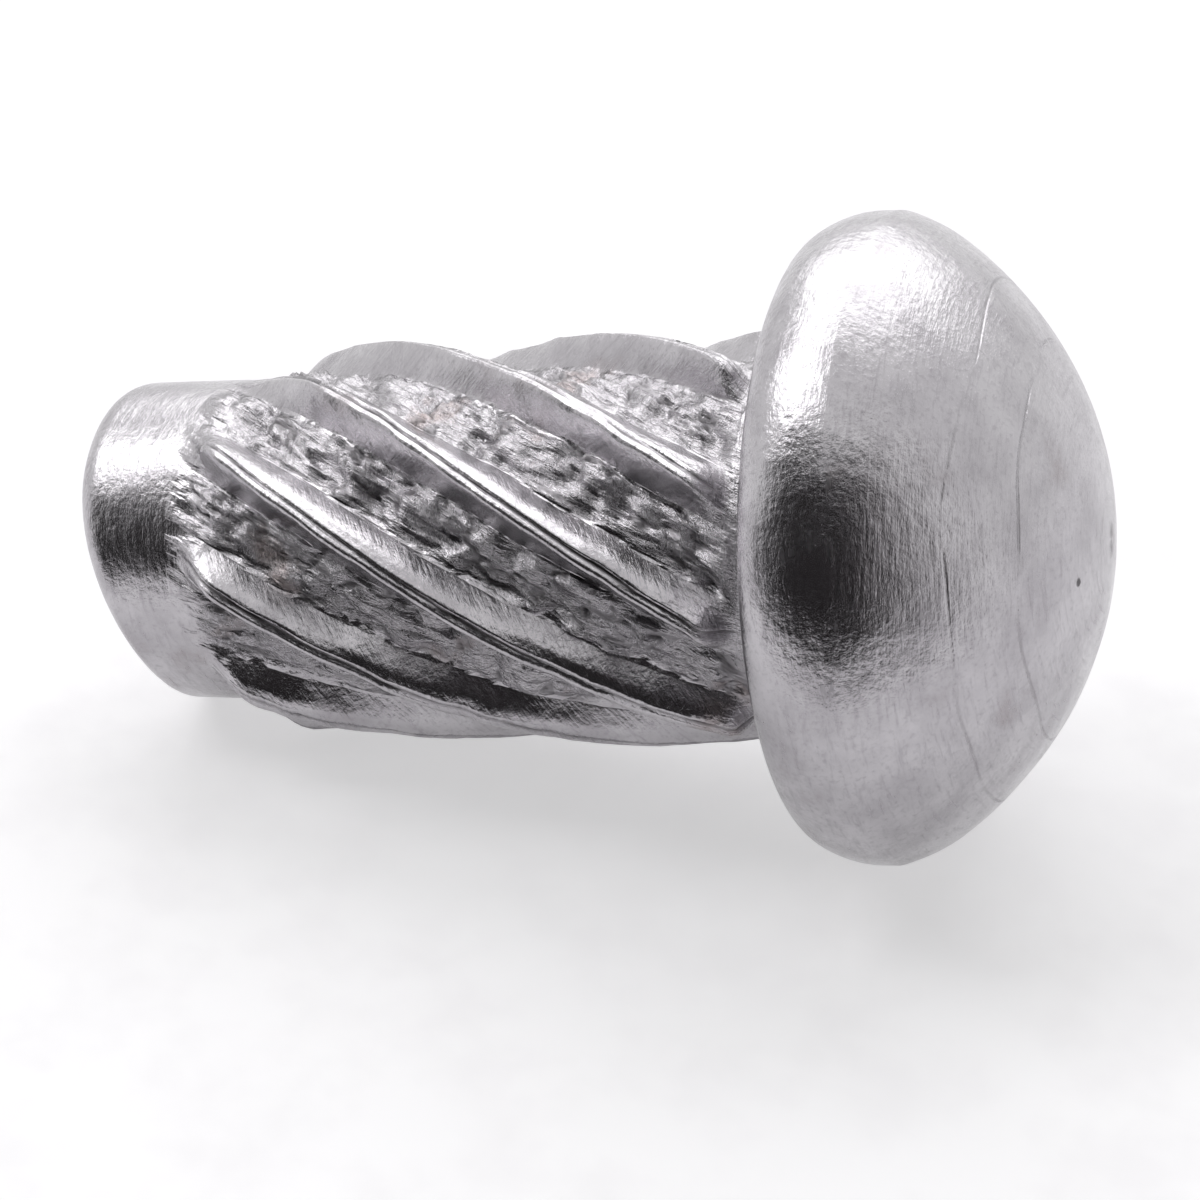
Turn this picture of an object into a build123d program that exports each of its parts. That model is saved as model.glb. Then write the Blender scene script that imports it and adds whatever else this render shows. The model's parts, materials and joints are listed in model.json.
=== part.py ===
from build123d import *
import math
import os

# A hammer drive screw, Type U, No. 2 x 3/16 in, in one piece, lying on its side as it comes
# to rest. Millimetres. +Z is up and z = 0 is the surface that the screw lies on. +X runs from
# the pilot to the head, and the origin is under the middle of the screw.

# Head: a flat bearing face, a rim rolled under, and a dome that is a little pointed.
head_diameter = 3.84
head_height = 1.65
rim_rise = 0.50              # from the bearing face up to the widest circle
rim_roll = 0.235             # how far the rolled underside reaches in from the widest circle
dome_axial_power = 1.24      # 2 and 2 would make the dome a true ellipse
dome_radial_power = 2.10
dome_stations = 16

# Shank: a plain pilot with a slanted, sheared end, a ridged length, and a short plain neck.
length_under_head = 4.70
pilot_diameter = 2.10
pilot_length = 0.80
pilot_edge_radius = 0.18
end_slant = 7.0              # degrees that the sheared end leans from square
end_slant_angle = -55.0      # where round the shank it is cut back furthest, 0 being lowest
neck_diameter = 2.17
neck_length = 0.27
neck_fillet = 0.19           # wide enough for the seat round it to clear the ridges

# Ridges: raised by rolling the blank, so that each crest has two lips and a shallow hollow.
ridge_count = 9
ridge_diameter = 2.54
root_diameter = 2.00
ridge_lead = 12.5            # length of one full right-hand turn
crest_width = 0.14           # from lip to lip
crest_hollow = 0.04
ridge_base_width = 0.43
entry_ramp = 0.40            # each ridge rises over this length behind the pilot
exit_ramp = 0.14             # and drops over this length before the neck
ridge_start_angle = 19.4     # degrees round the shank from its lowest line, at full height

head_radius = head_diameter / 2
pilot_radius = pilot_diameter / 2
neck_radius = neck_diameter / 2
ridge_radius = ridge_diameter / 2
root_radius = root_diameter / 2
widest_station = length_under_head + rim_rise
neck_start = length_under_head - neck_length
ridge_full_start = pilot_length + entry_ramp
slant_rise = math.tan(math.radians(end_slant))
overlap = 0.10               # how far a solid runs into the next one before they are fused
trim_clearance = 0.05        # how far the trimming outline stands clear of the crests


def turned(outline):
    """Turn a closed half outline, given as (radius, station from the tip), round Z."""
    return revolve(Plane.XZ * make_face(outline), axis=Axis.Z)


def polar(radius, angle):
    """A point of the cross-section, at a radius and an angle in radians."""
    return (radius * math.cos(angle), radius * math.sin(angle))


def make_head():
    """The head: bearing face, rolled rim and dome, turned in one."""
    underside = Line((0, length_under_head), (head_radius - rim_roll, length_under_head))
    rim = EllipticalCenterArc(
        (head_radius - rim_roll, widest_station),
        rim_roll,
        rim_rise,
        start_angle=-90,
        arc_size=90,
    )
    dome_points = []
    for step in range(dome_stations + 1):
        # The stations crowd towards the rim and the apex, where the curve turns fastest.
        rise = (1 - math.cos(math.pi * step / dome_stations)) / 2
        reach = (1 - rise**dome_axial_power) ** (1 / dome_radial_power)
        station = widest_station + (head_height - rim_rise) * rise
        dome_points.append((head_radius * reach, station))
    dome = Spline(*dome_points)
    return turned(underside + rim + dome + Line(dome @ 1, underside @ 0))


def make_pilot():
    """The plain pilot, with its sheared end leaning and the edge of that end rounded."""
    spare = pilot_radius
    bar = Pos(0, 0, -spare) * Cylinder(
        pilot_radius, pilot_length + spare, align=(Align.CENTER, Align.CENTER, Align.MIN)
    )
    direction = math.radians(end_slant_angle)
    end_normal = (-slant_rise * math.cos(direction), -slant_rise * math.sin(direction), 1)
    pilot = split(bar, bisect_by=Plane(origin=(0, 0, 0), z_dir=end_normal), keep=Keep.TOP)
    end_edge = pilot.edges().filter_by(GeomType.ELLIPSE)
    return fillet(end_edge, pilot_edge_radius)


def make_neck():
    """The plain neck and its fillet, which run a little way into the ridges and the head."""
    fillet_radius = neck_radius + neck_fillet
    fillet_start = length_under_head - neck_fillet
    into_head = length_under_head + overlap
    side = Polyline((0, neck_start), (neck_radius, neck_start), (neck_radius, fillet_start))
    curve = CenterArc((fillet_radius, fillet_start), neck_fillet, start_angle=180, arc_size=-90)
    inside = Polyline(curve @ 1, (fillet_radius, into_head), (0, into_head), (0, neck_start))
    return turned(side + curve + inside)


def ridged_section():
    """The cross-section of the ridged length: hollow-topped ridges between round flutes."""
    pitch = 2 * math.pi / ridge_count
    half_base = ridge_base_width / 2 / root_radius
    half_crest = crest_width / 2 / ridge_radius
    outline = Curve()
    for ridge in range(ridge_count):
        middle = ridge * pitch
        foot_before = polar(root_radius, middle - half_base)
        lip_before = polar(ridge_radius, middle - half_crest)
        hollow = polar(ridge_radius - crest_hollow, middle)
        lip_after = polar(ridge_radius, middle + half_crest)
        foot_after = polar(root_radius, middle + half_base)
        flute = polar(root_radius, middle + pitch / 2)
        next_foot = polar(root_radius, middle + pitch - half_base)
        outline += Line(foot_before, lip_before)
        outline += ThreePointArc(lip_before, hollow, lip_after)
        outline += Line(lip_after, foot_after)
        outline += ThreePointArc(foot_after, flute, next_foot)
    return make_face(outline)


def make_ridges():
    """The ridged length, twisted along its lead and trimmed to its two ramps."""
    start = pilot_length - overlap
    height = neck_start + overlap - start
    degrees_per_mm = 360 / ridge_lead
    turn_at_start = ridge_start_angle - degrees_per_mm * (ridge_full_start - start)
    section = Pos(0, 0, start) * Rot(0, 0, turn_at_start) * ridged_section()
    twisted = Solid.extrude_linear_with_rotation(
        section.face(), (0, 0, start), (0, 0, height), degrees_per_mm * height
    )
    entry_slope = entry_ramp / (ridge_radius - pilot_radius)
    exit_slope = exit_ramp / (ridge_radius - neck_radius)
    trim_outline = Polyline(
        (0, start),
        (root_radius, start),
        (pilot_radius, pilot_length),
        (ridge_radius + trim_clearance, ridge_full_start + entry_slope * trim_clearance),
        (ridge_radius + trim_clearance, neck_start - exit_ramp - exit_slope * trim_clearance),
        (neck_radius, neck_start),
        (root_radius, start + height),
        (0, start + height),
        (0, start),
    )
    return twisted & turned(trim_outline)


def rest_tilt():
    """The tilt of the axis, in degrees, at which the pilot's edge and the rim both touch.

    Each of the two touches where its rounded outline reaches lowest, so the tilt is found by
    halving the range until both reach equally low.
    """
    end_setback = pilot_radius * slant_rise * math.cos(math.radians(end_slant_angle))
    pilot_edge_station = end_setback + pilot_edge_radius
    low = 0.0
    high = math.pi / 4
    for _ in range(50):
        tilt = (low + high) / 2
        along = math.sin(tilt)
        out = math.cos(tilt)
        rim_reach = (head_radius - rim_roll) * out - widest_station * along
        rim_reach += math.hypot(rim_roll * out, rim_rise * along)
        pilot_reach = (pilot_radius - pilot_edge_radius) * out - pilot_edge_station * along
        pilot_reach += pilot_edge_radius
        if rim_reach > pilot_reach:
            low = tilt
        else:
            high = tilt
    return math.degrees(tilt)


def lay_down(screw):
    """Lay the upright screw on its side, at rest on z = 0, over the origin."""
    tilt = rest_tilt()
    # The screw's Z turns to +X and its X turns down; then the head end tilts up.
    lying = Rot(0, 90 - tilt, 0) * screw
    box = lying.bounding_box()
    return Pos(-box.center().X, -box.center().Y, -box.min.Z) * lying


drive_screw = make_pilot() + make_ridges() + make_neck() + make_head()
drive_screw = lay_down(drive_screw)

os.makedirs("parts", exist_ok=True)
export_step(drive_screw, "parts/drive_screw.step")
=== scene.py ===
"""Hammer drive screw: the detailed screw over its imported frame, with floor, lights and camera.

The screw is worked in its own frame, in millimetres: the tip is at the origin, Z runs to the
head, X points down to the floor and Y points away from the viewer.
"""
import json
import logging
import math
from dataclasses import dataclass, field
from enum import Enum

import bpy
import numpy as np
from mathutils import Matrix, Vector, noise


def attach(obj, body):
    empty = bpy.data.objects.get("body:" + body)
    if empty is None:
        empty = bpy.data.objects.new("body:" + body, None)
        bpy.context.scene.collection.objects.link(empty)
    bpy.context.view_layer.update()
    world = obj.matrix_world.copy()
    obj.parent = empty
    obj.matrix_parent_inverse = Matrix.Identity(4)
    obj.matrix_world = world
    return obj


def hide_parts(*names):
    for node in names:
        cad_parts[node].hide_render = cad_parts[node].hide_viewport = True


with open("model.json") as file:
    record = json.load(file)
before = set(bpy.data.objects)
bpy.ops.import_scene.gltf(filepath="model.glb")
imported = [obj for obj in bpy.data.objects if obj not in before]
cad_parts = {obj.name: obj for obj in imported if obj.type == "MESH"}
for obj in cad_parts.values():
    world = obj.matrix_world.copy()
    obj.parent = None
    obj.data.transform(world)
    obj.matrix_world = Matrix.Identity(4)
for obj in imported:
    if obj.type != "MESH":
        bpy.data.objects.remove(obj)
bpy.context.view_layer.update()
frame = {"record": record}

LOG = logging.getLogger("drive_screw")
NODE = "drive_screw"
SLOT = "plated_steel"
MM = 0.001
ROLLED = "rolled"
Colour = tuple[float, float, float, float]
Socket = bpy.types.NodeSocket


class Zone(Enum):
    """The stretches of the outline, in order from the middle of the tip to the apex."""

    END_FACE = 0
    END_EDGE = 1
    PILOT = 2
    RIDGES = 3
    NECK = 4
    FILLET = 5
    SEAT = 6
    RIM = 7
    DOME = 8


class Wear(Enum):
    """The painted masks that tell the finish where the metal differs; the seam mask only places
    painted shade in the seams and cracks.
    """

    TORN = "torn"
    SEAM = "seam"
    BURNISH = "burnish"


class Pattern(Enum):
    """The seeds of the patterns of noise, so that no two run alike."""

    WANDER = 1.0
    SHIVER = 2.0
    UPPER_FLANK = 3.0
    LOWER_FLANK = 4.0
    RAGGED_START = 5.0
    LUMPS = 6.0
    FLAKES = 7.0
    CRACKS = 8.0
    SEAM = 9.0
    CREST = 10.0
    RIPPLE = 11.0
    DENTS = 21.0


def ease(value: np.ndarray, low: float, high: float) -> np.ndarray:
    """Rise smoothly from 0 at low to 1 at high.

    Args:
        value: what is measured.
        low: where the rise starts.
        high: where it ends.

    Returns:
        The eased share, from 0 to 1.
    """
    share = np.clip((value - low) / (high - low), 0.0, 1.0)
    return share * share * (3.0 - 2.0 * share)


def hump(value: np.ndarray, middle: float, width: float) -> np.ndarray:
    """A soft bump of height 1 round a middle value."""
    return np.exp(-(((value - middle) / width) ** 2))


def rough(points: np.ndarray, per_mm: float, octaves: int, pattern: Pattern) -> np.ndarray:
    """Fractal noise of about -1 to 1.

    Args:
        points: places in millimetres, one row each.
        per_mm: how many coarse lumps fit in a millimetre.
        octaves: how many finer layers are added.
        pattern: which of the patterns is taken.

    Returns:
        One value for each point.
    """
    seed = pattern.value
    shift = Vector((7.31 * seed, 3.17 * seed, 5.73 * seed))
    places = (Vector(point) * per_mm + shift for point in points.tolist())
    return np.array([noise.fractal(place, 0.9, 2.0, octaves) for place in places])


@dataclass(frozen=True)
class Outline:
    """The smooth outline that the wire is headed and turned to, in millimetres."""

    pilot_radius: float = 1.05
    pilot_length: float = 0.80
    edge_radius: float = 0.18
    neck_radius: float = 1.085
    neck_start: float = 4.43
    neck_fillet: float = 0.19
    length_under_head: float = 4.70
    head_radius: float = 1.92
    head_height: float = 1.65
    rim_rise: float = 0.50
    rim_roll: float = 0.235
    dome_axial_power: float = 1.24
    dome_radial_power: float = 2.10
    pole_radius: float = 0.12
    last_dome_angle: float = math.radians(87.0)
    rings: tuple[int, ...] = (2, 2, 3, 21, 1, 2, 1, 3, 12)

    def dome(self, angle: np.ndarray) -> tuple[np.ndarray, np.ndarray]:
        """Radius and station on the dome, from 0 at the widest circle to a right angle."""
        radius = self.head_radius * np.cos(angle) ** (2 / self.dome_radial_power)
        rise = np.sin(angle) ** (2 / self.dome_axial_power)
        widest = self.length_under_head + self.rim_rise
        return radius, widest + (self.head_height - self.rim_rise) * rise

    def dome_station(self, radius: np.ndarray) -> np.ndarray:
        """The station of the dome where it has a radius."""
        share = np.clip(radius / self.head_radius, 0, 1) ** self.dome_radial_power
        widest = self.length_under_head + self.rim_rise
        rise = (1 - share) ** (1 / self.dome_axial_power)
        return widest + (self.head_height - self.rim_rise) * rise

    def span(self, zone: Zone, part: np.ndarray) -> tuple[np.ndarray, np.ndarray]:
        """Points of one stretch of the outline.

        Args:
            zone: the stretch.
            part: the share of the way along it, 0 to 1.

        Returns:
            The radii and the stations from the tip.
        """
        turn = part * math.pi / 2
        flat = np.zeros_like(part)
        fillet_start = self.length_under_head - self.neck_fillet
        fillet_reach = self.neck_radius + self.neck_fillet
        rim_start = self.head_radius - self.rim_roll
        end_reach = self.pilot_radius - self.edge_radius
        if zone is Zone.END_FACE:
            return self.pole_radius + (end_reach - self.pole_radius) * part, flat
        if zone is Zone.END_EDGE:
            radius = end_reach + self.edge_radius * np.sin(turn)
            return radius, self.edge_radius * (1 - np.cos(turn))
        if zone is Zone.PILOT:
            station = self.edge_radius + (self.pilot_length - self.edge_radius) * part
            return self.pilot_radius + flat, station
        if zone is Zone.RIDGES:
            station = self.pilot_length + (self.neck_start - self.pilot_length) * part
            radius = self.pilot_radius + (self.neck_radius - self.pilot_radius) * part
            return radius, station
        if zone is Zone.NECK:
            station = self.neck_start + (fillet_start - self.neck_start) * part
            return self.neck_radius + flat, station
        if zone is Zone.FILLET:
            radius = fillet_reach - self.neck_fillet * np.cos(turn)
            return radius, fillet_start + self.neck_fillet * np.sin(turn)
        if zone is Zone.SEAT:
            radius = fillet_reach + (rim_start - fillet_reach) * part
            return radius, self.length_under_head + flat
        if zone is Zone.RIM:
            radius = rim_start + self.rim_roll * np.sin(turn)
            return radius, self.length_under_head + self.rim_rise * (1 - np.cos(turn))
        return self.dome(part * self.last_dome_angle)

    def at(self, count: np.ndarray) -> tuple[np.ndarray, np.ndarray]:
        """Points of the whole outline.

        Args:
            count: how many coarse rings lie before each point, with fractions.

        Returns:
            The radii and the stations from the tip.
        """
        radius = np.zeros_like(count)
        station = np.zeros_like(count)
        start = 0
        for zone, rings in zip(Zone, self.rings):
            inside = (count >= start - 1e-6) & (count <= start + rings + 1e-6)
            part = np.clip((count[inside] - start) / rings, 0.0, 1.0)
            radius[inside], station[inside] = self.span(zone, part)
            start += rings
        return radius, station


@dataclass(frozen=True)
class Texture:
    """The torn metal's noise at each point of the ridged length."""

    lumps: np.ndarray
    flakes: np.ndarray
    cracks: np.ndarray
    ripple: np.ndarray


@dataclass(frozen=True)
class Ridges:
    """The rolled ridges: a folded seam on each crest, smooth flanks and torn flutes.

    Lengths and depths are in millimetres, and widths across a ridge in degrees of turn.
    """

    count: int = 9
    crest_radius: float = 1.265
    floor_radius: float = 1.035
    lead: float = 12.5
    first_angle: float = 19.4
    full_station: float = 1.20
    entry_length: float = 0.40
    exit_length: float = 0.16
    slow_ridge: int = 4
    slow_entry: float = 1.15
    ragged_start: float = 0.10
    wander: float = 1.3
    shiver: float = 0.5
    upper_lip: float = 0.9
    upper_flank: float = 8.6
    upper_change: float = 0.28
    lip_width: float = 2.7
    lower_flank: float = 8.2
    lower_change: float = 0.22
    seam_depth: float = 0.050
    seam_width: float = 0.62
    upper_droop: float = 0.014
    crest_wear: float = 0.024
    edge_line: float = 0.016
    flank_ripple: float = 0.008
    flute_roughness: float = 0.095
    crack_depth: float = 0.045
    collar_length: float = 0.42
    collar_lumps: float = 0.035
    collar_flakes: float = 0.025

    @property
    def twist(self) -> float:
        """Degrees of turn for each millimetre along the shank."""
        return 360.0 / self.lead

    def along(
        self, ridge: np.ndarray, station: np.ndarray, per_mm: float, pattern: Pattern
    ) -> np.ndarray:
        """Noise that runs along each ridge and differs from ridge to ridge."""
        cells = np.stack([9.13 * ridge, station * per_mm, 0 * station], axis=1)
        return rough(cells, 1.0, 3, pattern)

    def texture(self, column: np.ndarray, station: np.ndarray) -> Texture:
        """The torn metal's noise, of which the flakes are drawn out along the ridges."""
        angle = np.radians(column + self.twist * (station - self.full_station))
        spot = np.stack([np.cos(angle), np.sin(angle), station], axis=1)
        rolled = np.radians(column)
        drawn = np.stack([2.2 * np.cos(rolled), 2.2 * np.sin(rolled), 0.8 * station], axis=1)
        return Texture(
            lumps=rough(spot, 4.0, 5, Pattern.LUMPS),
            flakes=rough(drawn, 3.6, 5, Pattern.FLAKES),
            cracks=1 - np.clip(np.abs(rough(spot, 3.1, 4, Pattern.CRACKS)) * 5.0, 0, 1),
            ripple=rough(spot, 7.0, 4, Pattern.RIPPLE),
        )

    def form(
        self, outline: Outline, column: np.ndarray, station: np.ndarray
    ) -> tuple[np.ndarray, dict[Wear, np.ndarray]]:
        """Shape the ridged length.

        Args:
            outline: the smooth outline, for the radii that the ridges start and end at.
            column: degrees round the shank, carried along with the twist.
            station: millimetres from the tip.

        Returns:
            The radii, and the mask of each kind of wear.
        """
        pitch = 360.0 / self.count
        number = np.floor((column - self.first_angle) / pitch + 0.5)
        ridge = np.mod(number, self.count)

        def trace(per_mm: float, pattern: Pattern) -> np.ndarray:
            """Noise along these ridges."""
            return self.along(ridge, station, per_mm, pattern)

        # Across a ridge: how far each point lies from the seam, and how far down its flank.
        offset = column - self.first_angle - pitch * number
        offset = offset - self.wander * trace(0.8, Pattern.WANDER)
        offset = offset - self.shiver * trace(4.5, Pattern.SHIVER)
        upper_width = self.upper_flank * (1 + self.upper_change * trace(1.1, Pattern.UPPER_FLANK))
        lower_width = self.lower_flank * (1 + self.lower_change * trace(1.3, Pattern.LOWER_FLANK))
        upper = np.clip((-offset - self.upper_lip) / upper_width, 0, 1)
        lower = np.clip((offset - self.lip_width) / lower_width, 0, 1)
        fall = np.where(offset < 0, upper, lower)
        height = 1 - (0.7 * fall + 0.3 * ease(fall, 0.0, 1.0))
        torn = ease(fall, 0.86, 1.0)

        # Along a ridge: its climb from the pilot, and its fall to the rough collar at the neck.
        late = np.where(ridge == self.slow_ridge, self.slow_entry, self.entry_length)
        ragged = self.ragged_start * self.along(ridge, 0 * station, 1.0, Pattern.RAGGED_START)
        climb = ease((station - outline.pilot_length - ragged) / late, 0.0, 1.0)
        leave = 1 - ease(station, outline.neck_start - self.exit_length, outline.neck_start)
        bed_start = ease(station, outline.pilot_length - 0.05, outline.pilot_length + 0.35)
        bed = torn * bed_start
        collar_start = outline.neck_start - self.collar_length
        collar = ease(station, collar_start, outline.neck_start - 0.10)

        texture = self.texture(column, station)
        floor = outline.pilot_radius + (self.floor_radius - outline.pilot_radius) * bed_start
        radius = floor + (self.crest_radius - floor) * height * climb
        radius += self.flute_roughness * bed * (0.55 * texture.lumps + 0.45 * texture.flakes)
        radius -= self.crack_depth * texture.cracks * bed
        radius += self.edge_line * climb * hump(lower, 1.0, 0.10) * (offset > 0)
        seam_strength = np.clip(0.75 + 0.5 * trace(2.2, Pattern.SEAM), 0.15, 1.0)
        seam = hump(offset, 0.0, self.seam_width) * climb * seam_strength
        radius -= self.seam_depth * seam
        radius -= self.upper_droop * climb * hump(offset, -1.9, 1.2)
        radius -= self.crest_wear * climb * np.clip(trace(2.6, Pattern.CREST), 0, 1) * height
        radius += self.flank_ripple * climb * texture.ripple * (height < 0.97)
        neck = outline.neck_radius + self.collar_lumps * collar * np.clip(texture.lumps, -0.6, 1.0)
        radius = neck + (radius - neck) * leave
        radius += self.collar_flakes * collar * leave * texture.flakes * (1 - height * 0.6)
        radius = np.minimum(radius, self.crest_radius + 0.004)

        ragged_metal = ease(texture.flakes + 0.35 * texture.lumps, -0.1, 0.35)
        entry = hump(station, outline.pilot_length + 0.16, 0.17) * ragged_metal
        # The seams and open cracks are where the colour gets painted shade.
        open_cracks = 0.75 * texture.cracks * bed * ease(texture.lumps, -0.3, 0.3)
        masks = {
            Wear.TORN: np.clip(bed + 0.75 * collar + 0.7 * entry * (1 - height * climb), 0, 1),
            Wear.SEAM: np.clip(seam + open_cracks, 0, 1),
            Wear.BURNISH: np.clip(height * climb * 1.4 * (1 - collar), 0, 1) * (fall > 0.02),
        }
        return radius, masks


@dataclass(frozen=True)
class ShearedTip:
    """The slant and the worn corner of the sheared tip."""

    slant: float = 7.0
    deepest: float = -55.0
    fades_over: float = 0.80
    worn_corner: float = 0.13
    worn_from: float = 0.55
    worn_to: float = 1.05

    def setback(self, radius: np.ndarray, angle: np.ndarray, station: np.ndarray) -> np.ndarray:
        """How far each point is carried along the axis by the shear and the wear."""
        side = np.cos(angle - math.radians(self.deepest))
        full = math.tan(math.radians(self.slant)) * radius * side
        worn = ease(radius, self.worn_from, self.worn_to) * np.clip(side, 0, 1) ** 2
        full = full + self.worn_corner * worn
        return full * (1 - ease(station, 0.0, self.fades_over))


class Board:
    """Puts shader nodes in a tree and joins them."""

    def __init__(self, tree: bpy.types.NodeTree) -> None:
        """Start with an empty tree."""
        self.tree = tree
        tree.nodes.clear()

    def put(
        self, kind: str, sockets: dict[str | int, object] | None = None, **settings: object
    ) -> bpy.types.Node:
        """Add one node.

        Args:
            kind: the node's type.
            sockets: what each input gets, a value or another node's output.
            settings: the node's own options.

        Returns:
            The new node.
        """
        node = self.tree.nodes.new(kind)
        for name, value in settings.items():
            setattr(node, name, value)
        for name, value in (sockets or {}).items():
            if isinstance(value, Socket):
                self.tree.links.new(value, node.inputs[name])
            else:
                node.inputs[name].default_value = value
        return node

    def math(self, operation: str, first: object, second: object = 0.0) -> Socket:
        """One sum of two values or outputs."""
        sockets = {0: first, 1: second}
        return self.put("ShaderNodeMath", sockets, operation=operation).outputs[0]

    def times(self, first: object, second: object) -> Socket:
        """The product of two values or outputs."""
        return self.math("MULTIPLY", first, second)

    def plus(self, first: object, second: object) -> Socket:
        """The sum of two values or outputs."""
        return self.math("ADD", first, second)

    def most(self, first: object, *others: object) -> Socket:
        """The largest of several values or outputs."""
        found = first
        for other in others:
            found = self.math("MAXIMUM", found, other)
        return found

    def ramp(
        self, value: object, low: float, high: float, to_low: float, to_high: float
    ) -> Socket:
        """Map a range of a value onto another, and hold it at the ends."""
        sockets = {
            "Value": value,
            "From Min": low,
            "From Max": high,
            "To Min": to_low,
            "To Max": to_high,
        }
        return self.put("ShaderNodeMapRange", sockets, clamp=True).outputs[0]

    def noise(self, vector: object, per_unit: float, detail: float, roughness: float) -> Socket:
        """A noise value of 0 to 1 over a place."""
        sockets = {"Vector": vector, "Scale": per_unit, "Detail": detail, "Roughness": roughness}
        return self.put("ShaderNodeTexNoise", sockets).outputs["Fac"]

    def blend(self, share: object, first: object, second: object) -> Socket:
        """A mix of two colours."""
        sockets = {0: share, 6: first, 7: second}
        return self.put("ShaderNodeMix", sockets, data_type="RGBA").outputs[2]

    def glow(self, colour: Colour, strength: object) -> Socket:
        """An even light of its own."""
        sockets = {"Color": colour, "Strength": strength}
        return self.put("ShaderNodeEmission", sockets).outputs[0]

    def finish(self, surface: Socket) -> None:
        """Join the finished surface to the output."""
        self.put("ShaderNodeOutputMaterial", {"Surface": surface})


def new_material(name: str) -> tuple[bpy.types.Material, Board]:
    """A new empty material, and the board for its nodes."""
    material = bpy.data.materials.new(name)
    material.use_nodes = True
    return material, Board(material.node_tree)


@dataclass(frozen=True)
class Marks:
    """What the finish reads at a point: the painted wear, and the patterns of noise."""

    wear: dict[Wear, Socket]
    mottle: Socket
    grain: Socket
    torn_grain: Socket
    ripple: Socket
    rust: Socket
    streaks: Socket
    pits: Socket
    lines: Socket


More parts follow.
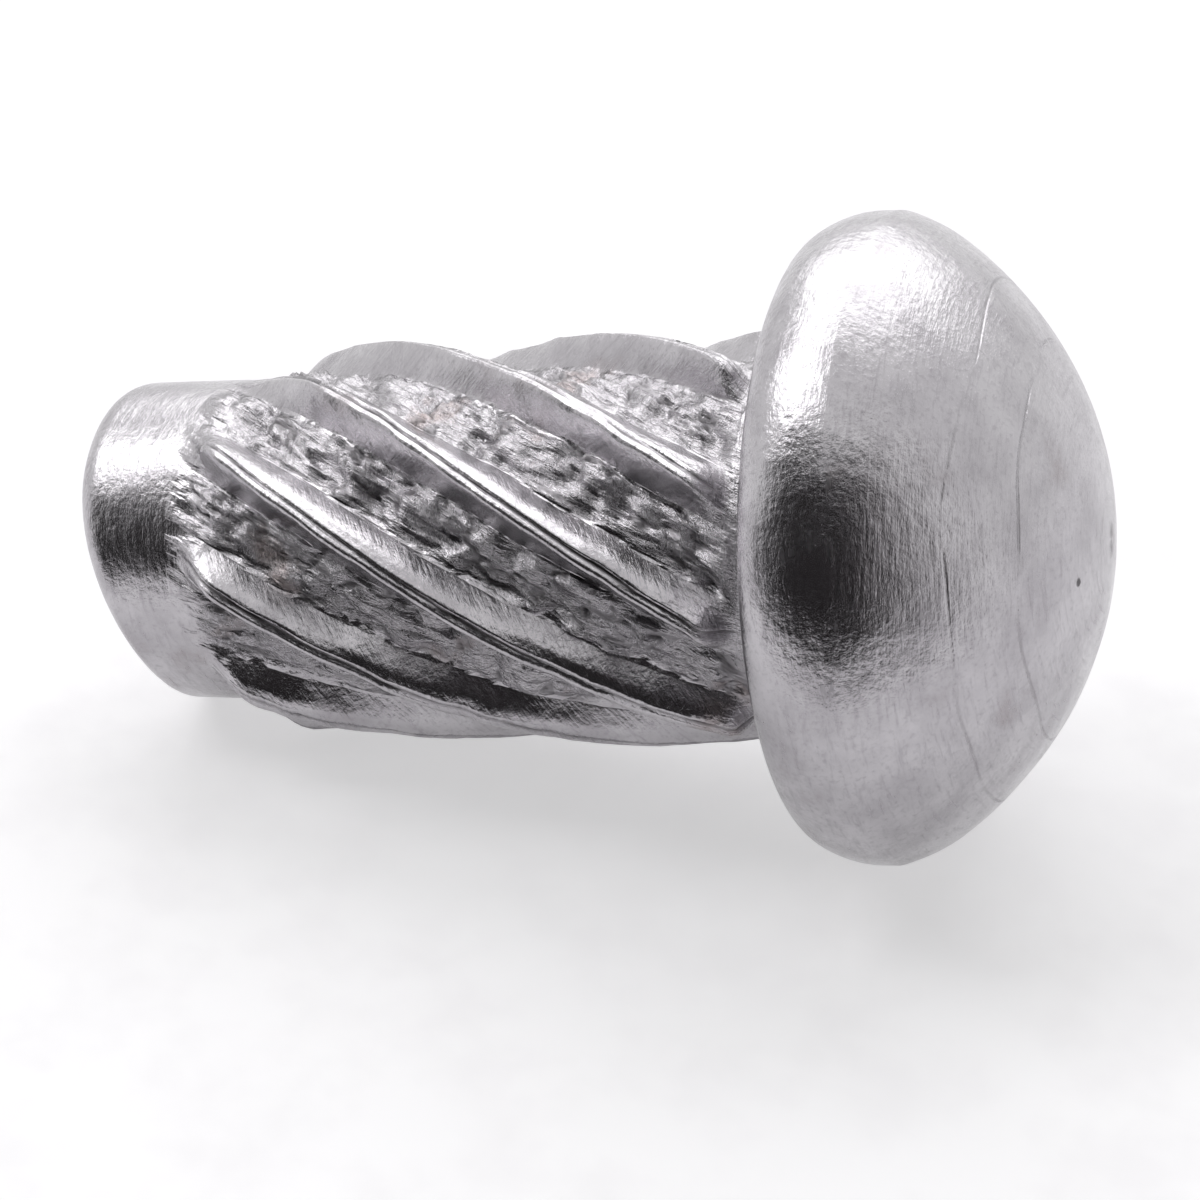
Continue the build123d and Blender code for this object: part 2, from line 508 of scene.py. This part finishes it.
@dataclass(frozen=True)
class PlatedSteel:
    """Bright zinc plate on steel: satin on the head, polished flanks and torn flutes."""

    bright: Colour = (0.49, 0.475, 0.495, 1.0)
    dull: Colour = (0.30, 0.285, 0.305, 1.0)
    # Painted shade: the near-black that the recesses are darkened to.
    recess_shade_colour: Colour = (0.030, 0.026, 0.028, 1.0)
    rust: Colour = (0.22, 0.12, 0.075, 1.0)
    die_line_radius: float = 1.50
    inner_line_radius: float = 1.13
    relief_depth: float = 1.1e-5

    def make(self, to_screw: Matrix) -> bpy.types.Material:
        """Build the material.

        Args:
            to_screw: from the row's frame to the screw's own, in metres.

        Returns:
            The finished material.
        """
        material, board = new_material(SLOT)
        marks = self.marks(board, to_screw)
        recess_shade = self.recess_shade(board, marks)
        bump = {
            "Height": self.relief(board, marks),
            "Distance": self.relief_depth,
            "Strength": 1.0,
        }
        surface = {
            "Base Color": self.colour(board, marks, recess_shade),
            "Metallic": 1.0,
            "Roughness": self.gloss(board, marks, recess_shade),
            "Normal": board.put("ShaderNodeBump", bump).outputs[0],
        }
        board.finish(board.put("ShaderNodeBsdfPrincipled", surface).outputs[0])
        return material

    def marks(self, board: Board, to_screw: Matrix) -> Marks:
        """Read the painted wear and lay out the patterns of noise.

        Args:
            board: the board that the nodes go on.
            to_screw: from the row's frame to the screw's own, in metres.

        Returns:
            The outputs that the finish is mixed from.
        """
        place = self.place(board, to_screw)
        parts = board.put("ShaderNodeSeparateXYZ", {0: place})
        flatten = {0: place, 1: (1.0, 1.0, 0.0)}
        across = board.put("ShaderNodeVectorMath", flatten, operation="MULTIPLY").outputs[0]
        length = board.put("ShaderNodeVectorMath", {0: across}, operation="LENGTH")
        reach = length.outputs["Value"]
        rolled = board.put("ShaderNodeAttribute", attribute_name=ROLLED).outputs["Vector"]
        wear = {}
        for kind in Wear:
            wear[kind] = board.put("ShaderNodeAttribute", attribute_name=kind.value).outputs["Fac"]
        return Marks(
            wear=wear,
            mottle=board.noise(place, 2.6, 5.0, 0.6),
            grain=board.noise(place, 30.0, 4.0, 0.65),
            torn_grain=board.noise(rolled, 7.5, 6.0, 0.64),
            ripple=board.noise(place, 5.0, 3.0, 0.55),
            rust=board.noise(place, 1.3, 6.0, 0.6),
            streaks=self.streaks(board, parts, reach),
            pits=self.pits(board, place),
            lines=self.die_lines(board, place, reach, parts.outputs["Z"]),
        )

    def recess_shade(self, board: Board, marks: Marks) -> Socket:
        """How much painted shade darkens the recesses: the low torn grain, the seams and cracks, the
        pits and the die lines.
        """
        tears = board.times(marks.wear[Wear.TORN], board.ramp(marks.torn_grain, 0.32, 0.43, 0.45, 0.0))
        seams = board.ramp(marks.wear[Wear.SEAM], 0.25, 0.9, 0.0, 0.95)
        return board.most(tears, seams, board.times(marks.pits, 0.8), board.times(marks.lines, 0.28))

    def colour(self, board: Board, marks: Marks, recess_shade: Socket) -> Socket:
        """The plate's colour: mottled and streaked, with faint rust, and with painted shade in the
        recesses.
        """
        steel = board.blend(board.ramp(marks.mottle, 0.38, 0.66, 0.0, 0.55), self.bright, self.dull)
        steel = board.blend(board.ramp(marks.streaks, 0.52, 0.74, 0.0, 0.6), steel, self.dull)
        steel = board.blend(board.ramp(marks.grain, 0.52, 0.72, 0.0, 0.55), steel, self.dull)
        spots = board.ramp(marks.rust, 0.60, 0.72, 0.0, 0.45)
        in_tears = board.ramp(marks.wear[Wear.TORN], 0.0, 1.0, 0.25, 1.0)
        steel = board.blend(board.times(spots, in_tears), steel, self.rust)
        # Painted shade: the recesses are darkened towards the near-black colour.
        return board.blend(recess_shade, steel, self.recess_shade_colour)

    def gloss(self, board: Board, marks: Marks, recess_shade: Socket) -> Socket:
        """The roughness: satin, sharper on burnished crests and duller where the painted shade darkens
        the recesses.
        """
        gloss = board.ramp(marks.mottle, 0.35, 0.70, 0.17, 0.27)
        gloss = board.plus(gloss, board.times(marks.wear[Wear.TORN], 0.02))
        gloss = board.plus(gloss, board.ramp(marks.streaks, 0.5, 0.8, 0.0, 0.10))
        gloss = board.plus(gloss, board.times(marks.wear[Wear.BURNISH], -0.05))
        return board.plus(gloss, board.times(recess_shade, 0.25))

    def relief(self, board: Board, marks: Marks) -> Socket:
        """The fine relief that is too small for the mesh."""
        relief = board.plus(board.times(marks.grain, 0.34), board.times(marks.streaks, 0.40))
        tears = board.times(board.times(marks.torn_grain, marks.wear[Wear.TORN]), 5.0)
        relief = board.plus(relief, tears)
        relief = board.plus(relief, board.times(marks.ripple, 0.9))
        relief = board.plus(relief, board.times(marks.pits, -0.7))
        return board.plus(relief, board.times(marks.lines, -0.5))

    def place(self, board: Board, to_screw: Matrix) -> Socket:
        """The point in the screw's own frame, in millimetres."""
        sockets = {
            "Vector": board.put("ShaderNodeTexCoord").outputs["Object"],
            "Location": to_screw.to_translation() / MM,
            "Rotation": to_screw.to_euler("XYZ"),
            "Scale": (1 / MM, 1 / MM, 1 / MM),
        }
        return board.put("ShaderNodeMapping", sockets, vector_type="POINT").outputs[0]

    def streaks(self, board: Board, parts: bpy.types.Node, reach: Socket) -> Socket:
        """Fine marks that run round the screw, as a turned or wiped surface has."""
        level = board.math("SUBTRACT", parts.outputs["Z"], reach)
        sockets = {
            "X": board.times(parts.outputs["X"], 5.0),
            "Y": board.times(parts.outputs["Y"], 5.0),
            "Z": board.times(level, 26.0),
        }
        drawn = board.put("ShaderNodeCombineXYZ", sockets).outputs[0]
        return board.noise(drawn, 1.0, 4.0, 0.7)

    def pits(self, board: Board, place: Socket) -> Socket:
        """A few small pits, each a little different in size, which the painted shade darkens."""
        cells = board.put("ShaderNodeTexVoronoi", {"Vector": place, "Scale": 2.4})
        size = board.ramp(board.noise(place, 1.7, 2.0, 0.5), 0.45, 0.70, 0.0, 0.085)
        inside = board.math("SUBTRACT", size, cells.outputs["Distance"])
        return board.ramp(inside, 0.0, 0.02, 0.0, 1.0)

    def die_lines(self, board: Board, place: Socket, reach: Socket, station: Socket) -> Socket:
        """The faint rings that the heading die leaves on the dome.

        Args:
            board: the board that the nodes go on.
            place: the point in the screw's own frame.
            reach: its distance from the axis.
            station: its distance from the tip.

        Returns:
            The strength of the line at the point, 0 to 1.
        """
        drift = board.ramp(board.noise(place, 0.55, 1.5, 0.4), 0.3, 0.7, -0.09, 0.09)
        true_reach = board.plus(reach, drift)
        rings = []
        for radius, strength in ((self.die_line_radius, 1.0), (self.inner_line_radius, 0.7)):
            away = board.math("ABSOLUTE", board.math("SUBTRACT", true_reach, radius))
            rings.append(board.ramp(away, 0.003, 0.011, strength, 0.0))
        patchy = board.ramp(board.noise(place, 1.6, 3.0, 0.6), 0.42, 0.60, 0.0, 1.0)
        on_dome = board.ramp(station, 5.35, 5.45, 0.0, 1.0)
        return board.times(board.most(*rings), board.times(patchy, on_dome))


@dataclass
class DriveScrew:
    """The screw itself: headed and pointed blank, rolled ridges and finish, in one closed piece."""

    outline: Outline = field(default_factory=Outline)
    ridges: Ridges = field(default_factory=Ridges)
    tip: ShearedTip = field(default_factory=ShearedTip)
    finish: PlatedSteel = field(default_factory=PlatedSteel)
    coarse_columns: int = 117
    divisions: int = 2
    mount_station: float = 0.5
    grain_stretch: float = 0.30
    rim_wear: float = 0.011
    dent_depth: float = 0.006

    @property
    def fine(self) -> int:
        """How many fine steps lie in a coarse one."""
        return 2**self.divisions

    @property
    def ring_numbers(self) -> np.ndarray:
        """The numbers of the coarse rings, from 0."""
        return np.arange(sum(self.outline.rings) + 1, dtype=float)

    def pose(self) -> Matrix:
        """The place of the screw's own frame in the row, from the pilot mount."""
        pilot = next(m for m in frame["record"]["mounts"] if m["name"] == "pilot")
        along = -Vector(pilot["axis"])
        down = Vector((along.z, 0.0, -along.x))
        away = along.cross(down)
        origin = Vector(pilot["pos_m"]) - along * self.mount_station * MM
        turned = Matrix((down, away, along)).transposed().to_4x4()
        return Matrix.Translation(origin) @ turned

    def blank(self) -> bpy.types.Object:
        """Draw the blank out ring by ring from a disc at the tip, and divide it finely."""
        bpy.ops.object.select_all(action="DESELECT")
        radii, stations = self.outline.at(self.ring_numbers)
        bpy.ops.mesh.primitive_circle_add(
            vertices=self.coarse_columns, radius=radii[0] * MM, fill_type="NGON", location=(0, 0, 0)
        )
        screw = bpy.context.object
        screw.name = "drive_screw_detailed"
        bpy.ops.object.mode_set(mode="EDIT")
        bpy.ops.mesh.select_mode(type="EDGE")
        bpy.ops.mesh.select_all(action="SELECT")
        for ring in range(1, len(radii)):
            step = (stations[ring] - stations[ring - 1]) * MM
            grow = radii[ring] / radii[ring - 1]
            bpy.ops.mesh.extrude_edges_move(TRANSFORM_OT_translate={"value": (0, 0, step)})
            bpy.ops.transform.resize(value=(grow, grow, 1), center_override=(0, 0, 0))
        bpy.ops.mesh.edge_face_add()
        bpy.ops.mesh.select_all(action="SELECT")
        bpy.ops.mesh.normals_make_consistent(inside=False)
        bpy.ops.object.mode_set(mode="OBJECT")
        finer = screw.modifiers.new("finer", "SUBSURF")
        finer.subdivision_type = "SIMPLE"
        finer.levels = self.divisions
        finer.render_levels = self.divisions
        bpy.ops.object.modifier_apply(modifier=finer.name)
        return screw

    def ring_count(self, radius: np.ndarray, station: np.ndarray) -> np.ndarray:
        """How many coarse rings lie before each point of the blank.

        Args:
            radius: each point's distance from the axis.
            station: its distance from the tip.

        Returns:
            The count, with fractions for the rings between the coarse ones.
        """
        corners = np.stack(self.outline.at(self.ring_numbers), axis=1)
        points = np.stack([radius, station], axis=1)
        nearest = np.full(len(points), np.inf)
        found = np.zeros(len(points))
        for ring in range(len(corners) - 1):
            run = corners[ring + 1] - corners[ring]
            part = np.clip((points - corners[ring]) @ run / (run @ run), 0, 1)
            away = np.linalg.norm(points - corners[ring] - part[:, None] * run, axis=1)
            closer = away < nearest
            nearest[closer] = away[closer]
            found[closer] = ring + part[closer]
        return np.round(found * self.fine) / self.fine

    def head_wear(self, body: np.ndarray, radius: np.ndarray, station: np.ndarray) -> None:
        """Soften the head's widest circle and give the head its slight dents.

        Args:
            body: the points, which are changed.
            radius: each point's distance from the axis.
            station: its distance from the tip.
        """
        headed = station > self.outline.length_under_head + 0.01
        widest = self.outline.length_under_head + self.outline.rim_rise
        softened = 1 - self.rim_wear * hump(station, widest + 0.02, 0.16) * headed
        body[:, :2] *= softened[:, None]
        dents = np.zeros(len(radius))
        dents[headed] = np.clip(rough(body[headed], 0.9, 3, Pattern.DENTS), -1, 0.2)
        body[:, :2] *= (1 + self.dent_depth * dents / np.maximum(radius, 0.3))[:, None]
        body[:, 2] += self.dent_depth * np.clip(dents, -1, 0)

    def form(self, screw: bpy.types.Object) -> None:
        """Roll the ridges into the blank, slant its tip, roughen it and lay it in place."""
        mesh = screw.data
        flat = np.empty(len(mesh.vertices) * 3, dtype=np.float64)
        mesh.vertices.foreach_get("co", flat)
        spots = flat.reshape(-1, 3) / MM
        blank_radius = np.hypot(spots[:, 0], spots[:, 1])
        step = 360.0 / (self.coarse_columns * self.fine)
        column = np.round(np.degrees(np.arctan2(spots[:, 1], spots[:, 0])) / step) * step
        count = self.ring_count(blank_radius, spots[:, 2])
        radius, station = self.outline.at(count)

        # The two discs that close the ends keep their own radii.
        pole = blank_radius < radius - 1e-3
        pole &= (count < 0.01) | (count > self.ring_numbers[-1] - 0.01)
        radius = np.where(pole, blank_radius, radius)
        on_apex = pole & (station > self.outline.length_under_head)
        station = np.where(on_apex, self.outline.dome_station(radius), station)

        masks = {wear: np.zeros(len(radius)) for wear in Wear}
        ridged_start = sum(self.outline.rings[: Zone.RIDGES.value])
        ridged_end = sum(self.outline.rings[: Zone.NECK.value])
        ridged = (count >= ridged_start) & (count <= ridged_end)
        radius[ridged], rolled = self.ridges.form(self.outline, column[ridged], station[ridged])
        for wear, mask in rolled.items():
            masks[wear][ridged] = mask
        on_neck = (count > ridged_end) & (station < self.outline.length_under_head)
        masks[Wear.TORN][on_neck] = 0.8

        held = np.clip(station, self.outline.pilot_length - 0.3, self.outline.neck_start + 0.05)
        angle = np.radians(column + self.ridges.twist * (held - self.ridges.full_station))
        station = station + self.tip.setback(radius, angle, station) * (station < 1.0)
        body = np.stack([radius * np.cos(angle), radius * np.sin(angle), station], axis=1)
        self.head_wear(body, radius, station)

        pose = np.array(self.pose())
        placed = body * MM @ pose[:3, :3].T + pose[:3, 3]
        placed[:, 2] = np.maximum(placed[:, 2], 0.0)
        mesh.vertices.foreach_set("co", placed.ravel())
        self.paint(mesh, masks, column, station)
        mesh.update()

    def paint(
        self,
        mesh: bpy.types.Mesh,
        masks: dict[Wear, np.ndarray],
        column: np.ndarray,
        station: np.ndarray,
    ) -> None:
        """Store the wear, and the direction that the metal was rolled in, on the mesh.

        Args:
            mesh: the screw's mesh.
            masks: the strength of each kind of wear at each point.
            column: degrees round the shank, carried along with the twist.
            station: millimetres from the tip.
        """
        for wear, mask in masks.items():
            layer = mesh.attributes.new(wear.value, "FLOAT", "POINT")
            layer.data.foreach_set("value", mask.astype(np.float32))
        turned = np.radians(column)
        lengthwise = self.grain_stretch * station
        grain = np.stack([1.2 * np.cos(turned), 1.2 * np.sin(turned), lengthwise], axis=1)
        layer = mesh.attributes.new(ROLLED, "FLOAT_VECTOR", "POINT")
        layer.data.foreach_set("vector", grain.astype(np.float32).ravel())

    def build(self) -> bpy.types.Object:
        """Make the screw, dress it and put it in the frame.

        Returns:
            The finished piece.
        """
        screw = self.blank()
        self.form(screw)
        bpy.ops.object.shade_smooth()
        screw.data.materials.clear()
        screw.data.materials.append(self.finish.make(self.pose().inverted()))
        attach(screw, "root")
        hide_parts(NODE)
        LOG.info("%s: %d faces", screw.name, len(screw.data.polygons))
        return screw


@dataclass(frozen=True)
class Lamp:
    """One soft rectangular lamp, aimed at the middle of the screw."""

    name: str
    towards: tuple[float, float, float]
    away: float
    width: float
    height: float
    radiance: float

    def hang(self, target: Vector) -> bpy.types.Object:
        """Hang the lamp and give it the power for its radiance."""
        direction = Vector(self.towards).normalized()
        bpy.ops.object.light_add(type="AREA", location=target + direction * self.away)
        lamp = bpy.context.object
        lamp.name = self.name
        lamp.rotation_euler = direction.to_track_quat("Z", "Y").to_euler()
        lamp.data.shape = "RECTANGLE"
        lamp.data.size = self.width
        lamp.data.size_y = self.height
        lamp.data.energy = self.radiance * math.pi * self.width * self.height
        return lamp


@dataclass(frozen=True)
class Studio:
    """The white table, its soft lamps, the sheets of painted dark reflection in front and the camera.
    """

    table_size: float = 2.0
    table_colour: Colour = (0.74, 0.73, 0.75, 1.0)
    table_shade: Colour = (0.68, 0.665, 0.69, 1.0)
    table_lift: float = 0.49
    far_lift: float = 0.85
    room_light: float = 0.18
    # Painted reflection: glowing sheets that only the metal's reflections see, standing in for the
    # dark room in front; tone and colour are their painted darkness and tint.
    dark_reflection_radius: float = 0.16
    dark_reflection_height: float = 0.22
    dark_reflection_gap: float = 0.0070
    dark_reflection_tone: float = 0.03
    dark_reflection_colour: Colour = (1.0, 0.94, 0.96, 1.0)
    white: Colour = (1.0, 1.0, 1.0, 1.0)
    camera_place: tuple[float, float, float] = (4.33348 * MM, -11.45850 * MM, 7.90244 * MM)
    camera_turn: tuple[float, float, float] = (60.968, 0.0, 20.065)
    lens: float = 66.69
    lamps: tuple[Lamp, ...] = (
        Lamp("top_softbox", (-0.12, 0.62, 0.78), 0.26, 0.32, 0.24, 1.95),
        Lamp("left_softbox", (-0.62, -0.08, 0.78), 0.24, 0.11, 0.11, 3.7),
    )

    def table(self) -> None:
        """Lay the table: matt white, and a little brighter to the camera than its light."""
        bpy.ops.mesh.primitive_plane_add(size=self.table_size, location=(0, 0, 0))
        top = bpy.context.object
        top.name = "table"
        material, board = new_material("white_table")
        place = board.put("ShaderNodeTexCoord").outputs["Object"]
        specks = board.ramp(board.noise(place, 1400.0, 3.0, 0.7), 0.44, 0.66, 0.0, 1.0)
        paper = board.blend(specks, self.table_colour, self.table_shade)
        matt = board.put("ShaderNodeBsdfDiffuse", {"Color": paper}).outputs[0]
        path = board.put("ShaderNodeLightPath")
        seen = board.most(path.outputs["Is Camera Ray"], path.outputs["Is Glossy Ray"])
        away = board.put("ShaderNodeVectorMath", {0: place}, operation="LENGTH").outputs["Value"]
        lift = board.times(seen, board.ramp(away, 0.02, 0.20, self.table_lift, self.far_lift))
        layers = {0: matt, 1: board.glow(self.white, lift)}
        board.finish(board.put("ShaderNodeAddShader", layers).outputs[0])
        top.data.materials.append(material)

    def painted_reflection_wall(self) -> bpy.types.Object:
        """Stand a curved sheet of painted dark reflection in front, lighter to its right, which fades
        out at its sides and top.
        """
        bpy.ops.mesh.primitive_cylinder_add(
            vertices=96,
            radius=self.dark_reflection_radius,
            depth=self.dark_reflection_height,
            end_fill_type="NOTHING",
            location=(0, 0, self.dark_reflection_height / 2),
        )
        wall = bpy.context.object
        wall.name = "painted_reflection_wall"
        material, board = new_material("painted_reflection_sheet")
        place = board.put("ShaderNodeTexCoord").outputs["Object"]
        parts = board.put("ShaderNodeSeparateXYZ", {0: place})
        front = board.times(parts.outputs["Y"], -1.0)
        turn = board.math("ARCTAN2", parts.outputs["X"], front)
        # Painted reflection: dark in front, glowing lighter towards the right.
        tone = board.ramp(turn, 0.85, 1.30, self.dark_reflection_tone, 0.40)
        right = board.ramp(turn, 1.12, 1.45, 0.0, 1.0)
        left = board.ramp(turn, -1.20, -0.90, 1.0, 0.0)
        above = board.ramp(parts.outputs["Z"], 0.065, 0.108, 0.0, 1.0)
        clear = board.put("ShaderNodeBsdfTransparent").outputs[0]
        layers = {0: board.most(right, left, above), 1: board.glow(self.dark_reflection_colour, tone), 2: clear}
        board.finish(board.put("ShaderNodeMixShader", layers).outputs[0])
        wall.data.materials.append(material)
        return wall

    def painted_reflection_mat(self) -> bpy.types.Object:
        """Lay a flat sheet of painted dark reflection on the table, from a little in front of the
        screw.
        """
        depth = self.dark_reflection_radius - self.dark_reflection_gap
        spot = (0.0, -(self.dark_reflection_gap + depth / 2), 0.0002)
        bpy.ops.mesh.primitive_plane_add(size=1.0, location=spot)
        mat = bpy.context.object
        mat.name = "painted_reflection_mat"
        mat.scale = (self.dark_reflection_radius * 1.5, depth, 1.0)
        material, board = new_material("painted_reflection_mat")
        board.finish(board.glow(self.dark_reflection_colour, self.dark_reflection_tone))
        mat.data.materials.append(material)
        return mat

    def paint_front_reflections(self) -> None:
        """Put both sheets of painted dark reflection in front, where only reflections see them."""
        for cloth in (self.painted_reflection_wall(), self.painted_reflection_mat()):
            cloth.visible_camera = False
            cloth.visible_diffuse = False
            cloth.visible_shadow = False
            cloth.visible_transmission = False

    def room(self) -> None:
        """A white room to the camera and to reflections, and a softer light on the table."""
        world = bpy.data.worlds.new("white_room")
        bpy.context.scene.world = world
        world.use_nodes = True
        board = Board(world.node_tree)
        path = board.put("ShaderNodeLightPath")
        rays = ("Is Camera Ray", "Is Glossy Ray", "Is Transmission Ray")
        seen = board.most(*(path.outputs[ray] for ray in rays))
        strength = board.ramp(seen, 0.0, 1.0, self.room_light, 1.0)
        light = board.put("ShaderNodeBackground", {"Color": self.white, "Strength": strength})
        board.put("ShaderNodeOutputWorld", {"Surface": light.outputs[0]})

    def camera(self) -> None:
        """Set the camera low in front, to the head's side of the screw."""
        turn = [math.radians(angle) for angle in self.camera_turn]
        bpy.ops.object.camera_add(location=self.camera_place, rotation=turn)
        camera = bpy.context.object
        camera.data.lens = self.lens
        camera.data.sensor_width = 36.0
        camera.data.clip_start = 0.0005
        bpy.context.scene.camera = camera

    def set_up(self) -> None:
        """Build the whole set round the screw."""
        middle = Vector((0, 0, 1.9 * MM))
        self.table()
        self.paint_front_reflections()
        self.room()
        for lamp in self.lamps:
            lamp.hang(middle)
            LOG.info("lamp %s", lamp.name)
        self.camera()
        bpy.context.scene.view_settings.view_transform = "Standard"


def main() -> None:
    """Build the screw and its set in order."""
    logging.basicConfig(level=logging.INFO)
    DriveScrew().build()
    Studio().set_up()


if __name__ == "__main__":
    main()
